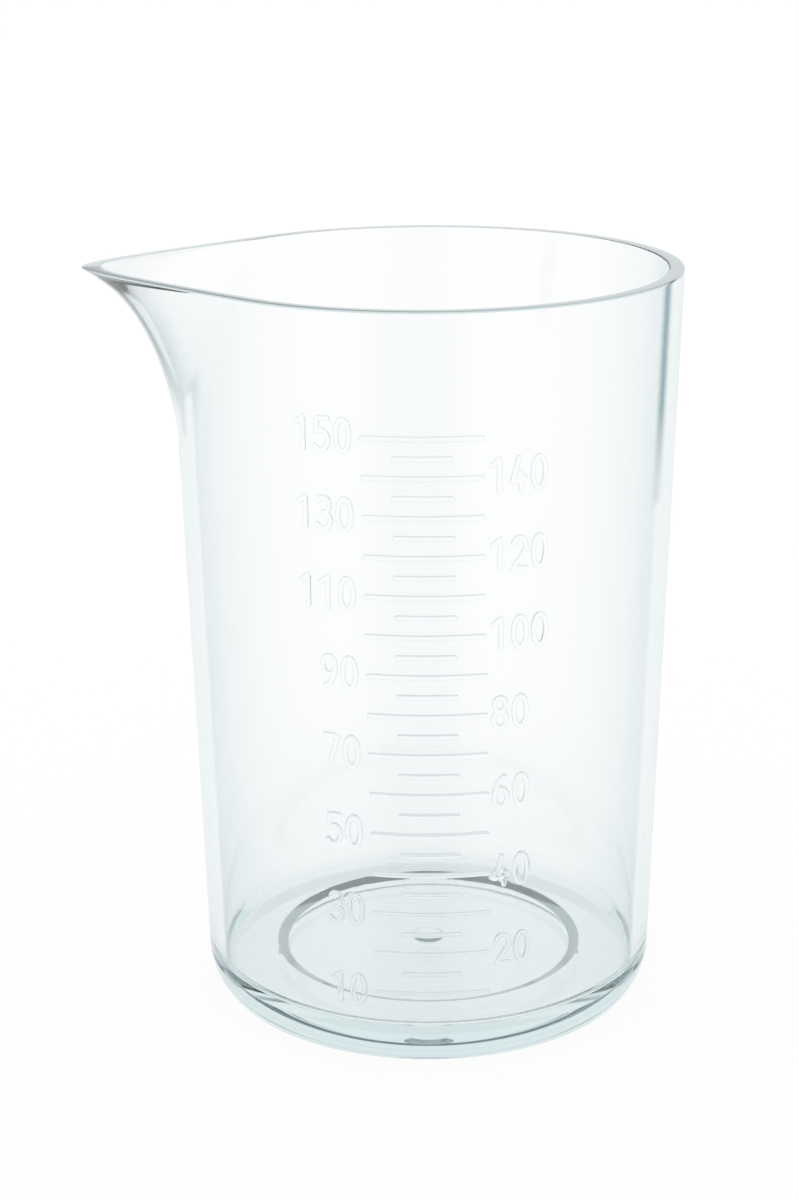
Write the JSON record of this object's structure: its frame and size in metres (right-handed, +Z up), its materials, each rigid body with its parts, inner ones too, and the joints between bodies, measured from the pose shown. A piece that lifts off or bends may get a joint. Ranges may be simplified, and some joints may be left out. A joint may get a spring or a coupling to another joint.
{
  "type": "measuring beaker",
  "caption": "Clear tapered measuring beaker with a long pouring spout, a flat rim, a rounded heel and raised graduation lines and numbers on the front.",
  "frame": {"origin": "on the axis of the round cup, on the surface that it stands on", "axes": "+Z up along the cup's axis; the spout points along -X; the graduations face -Y"},
  "size_m": [0.0689, 0.0588, 0.0874],
  "materials": {
    "clear_plastic": "clear gloss, faint blue-green tint"
  },
  "bodies": {
    "root": {"side_wall": "clear_plastic", "pouring_spout": "clear_plastic", "base_floor": "clear_plastic", "foot_ring": "clear_plastic", "gate_mark": "clear_plastic", "long_graduation_lines": "clear_plastic", "short_graduation_lines": "clear_plastic", "numeral_10": "clear_plastic", "numeral_20": "clear_plastic", "numeral_30": "clear_plastic", "numeral_40": "clear_plastic", "numeral_50": "clear_plastic", "numeral_60": "clear_plastic", "numeral_70": "clear_plastic", "numeral_80": "clear_plastic", "numeral_90": "clear_plastic", "numeral_100": "clear_plastic", "numeral_110": "clear_plastic", "numeral_120": "clear_plastic", "numeral_130": "clear_plastic", "numeral_140": "clear_plastic", "numeral_150": "clear_plastic"}
  },
  "joints": []
}
